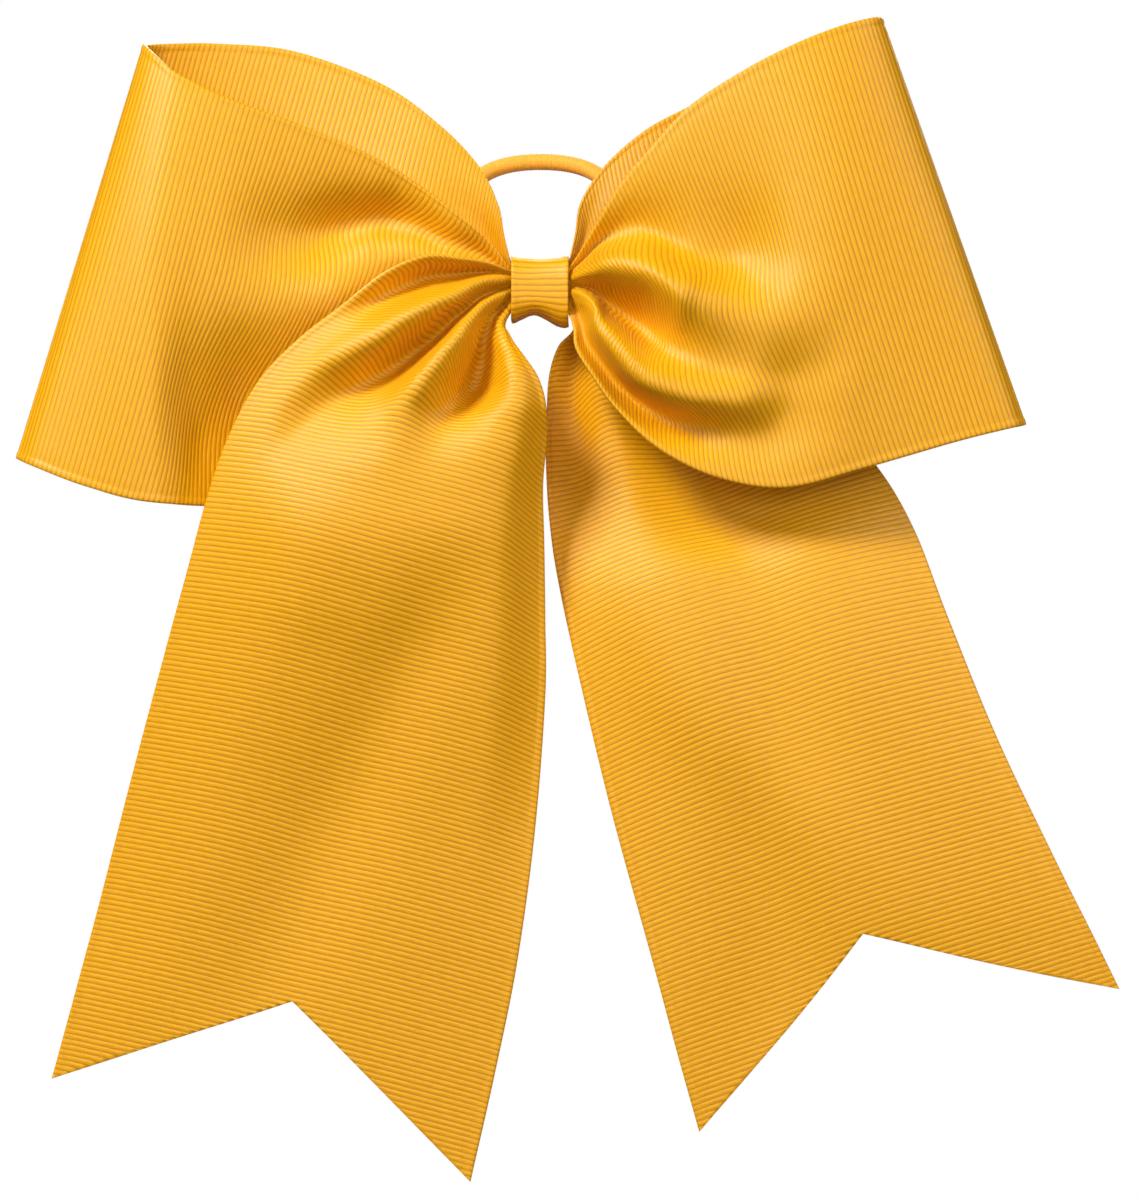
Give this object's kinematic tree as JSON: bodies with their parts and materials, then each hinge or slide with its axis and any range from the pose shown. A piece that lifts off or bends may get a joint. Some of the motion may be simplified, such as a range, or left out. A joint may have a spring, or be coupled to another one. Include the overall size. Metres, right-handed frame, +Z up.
{
  "type": "cheer hair bow",
  "caption": "Grosgrain ribbon hair bow with wide loops and long V-cut tails, a gathered centre under a narrow wrap, and a covered elastic ponytail loop behind.",
  "frame": {"origin": "middle of the knot, on the flat back of the centre wrap", "axes": "+X to the bow's right as seen from the front, +Z up as worn, the front faces -Y"},
  "size_m": [0.194, 0.0423, 0.2044],
  "materials": {
    "ribbon": "golden-yellow polyester grosgrain, fine cross ribs, soft sheen",
    "thread": "matte polyester thread, wound",
    "glue": "set hot-melt glue, cloudy",
    "elastic_cover": "golden knitted cover on elastic cord",
    "elastic_core": "plain rubber core"
  },
  "bodies": {
    "knot": {"centre_wrap": "ribbon", "wrap_glue": "glue", "binding_thread": "thread", "waist_front_layer": "ribbon", "waist_middle_layer": "ribbon", "waist_rear_layer": "ribbon", "left_tail_root": "ribbon", "right_tail_root": "ribbon"},
    "left_loop": {"left_loop_front": "ribbon", "left_loop_back": "ribbon"},
    "right_loop": {"right_loop_front": "ribbon", "right_loop_back": "ribbon"},
    "left_tail": {"left_tail": "ribbon"},
    "right_tail": {"right_tail": "ribbon"},
    "elastic": {"elastic_base_cover": "elastic_cover", "elastic_base_core": "elastic_core", "elastic_left_leg_cover": "elastic_cover", "elastic_left_leg_core": "elastic_core", "elastic_right_leg_cover": "elastic_cover", "elastic_right_leg_core": "elastic_core"},
    "elastic_crown": {"elastic_crown_cover": "elastic_cover", "elastic_crown_core": "elastic_core"}
  },
  "joints": [
    {"name": "left_loop_flex", "type": "hinge", "parent": "knot", "child": "left_loop", "pos_m": [-0.006, -0.0072, 0], "axis": [0, 0, -1], "range_deg": [0, 12], "stiffness_Nm_per_rad": 0.02},
    {"name": "right_loop_flex", "type": "hinge", "parent": "knot", "child": "right_loop", "pos_m": [0.006, -0.0095, 0], "axis": [0, 0, -1], "range_deg": [0, 18], "stiffness_Nm_per_rad": 0.02},
    {"name": "left_tail_swing", "type": "hinge", "parent": "knot", "child": "left_tail", "pos_m": [-0.024, -0.0187, -0.016], "axis": [-1, 0, 0], "range_deg": [0, 40], "stiffness_Nm_per_rad": 0.01},
    {"name": "right_tail_swing", "type": "hinge", "parent": "knot", "child": "right_tail", "pos_m": [0.023, 0.0021, -0.016], "axis": [1, 0, 0], "range_deg": [0, 40], "stiffness_Nm_per_rad": 0.01},
    {"name": "elastic_swing", "type": "hinge", "parent": "knot", "child": "elastic", "pos_m": [0, -0.0023, 0], "axis": [-1, 0, 0], "range_deg": [0, 35], "stiffness_Nm_per_rad": 0.005},
    {"name": "elastic_stretch", "type": "slide", "parent": "elastic", "child": "elastic_crown", "axis": [0, 0.7071, 0.7071], "range_m": [0, 0.012], "stiffness_N_per_m": 60, "deforming": ["elastic_left_leg_cover", "elastic_left_leg_core", "elastic_right_leg_cover", "elastic_right_leg_core"]}
  ]
}
